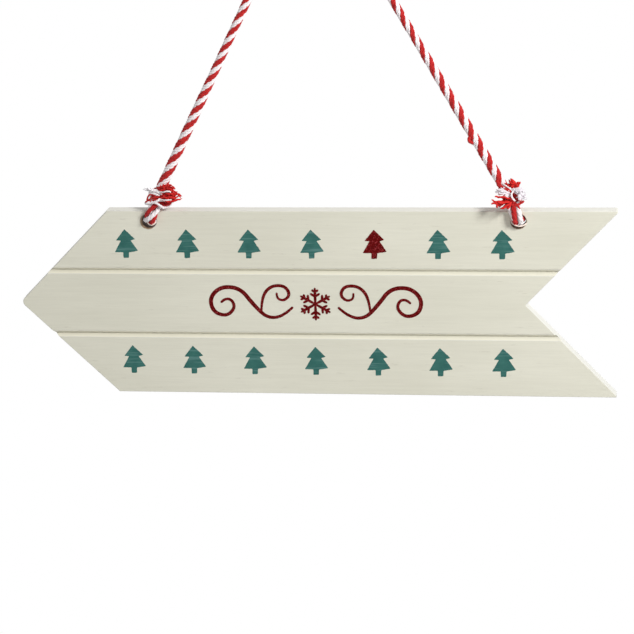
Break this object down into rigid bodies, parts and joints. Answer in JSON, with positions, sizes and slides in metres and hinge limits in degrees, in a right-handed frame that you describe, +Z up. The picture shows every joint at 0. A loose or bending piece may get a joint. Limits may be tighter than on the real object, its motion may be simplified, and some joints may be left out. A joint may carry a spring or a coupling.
{
  "type": "hanging wooden sign",
  "caption": "Arrow-shaped painted wooden sign with a grooved face, tree prints and a notched tail, hung by a twisted cord that is knotted through holes near its top edge.",
  "frame": {"origin": "axis of the hook or nail that the cord's bend goes over, in the board's mid-plane", "axes": "+X along the board from its point to its notched tail, +Y from the printed front to the back, +Z up"},
  "size_m": [0.3971, 0.0212, 0.3499],
  "materials": {
    "painted_wood": "matt off-white paint over faint grain",
    "red_cord": "soft twisted cotton",
    "white_cord": "soft twisted cotton",
    "teal_print": "flat screen-printed ink",
    "glitter_print": "dark red glitter"
  },
  "bodies": {
    "root": {"board": "painted_wood", "hanging_cord": "red_cord", "left_knot": "red_cord", "right_knot": "red_cord", "left_frayed_ends": "white_cord", "right_frayed_ends": "white_cord"}
  },
  "joints": []
}
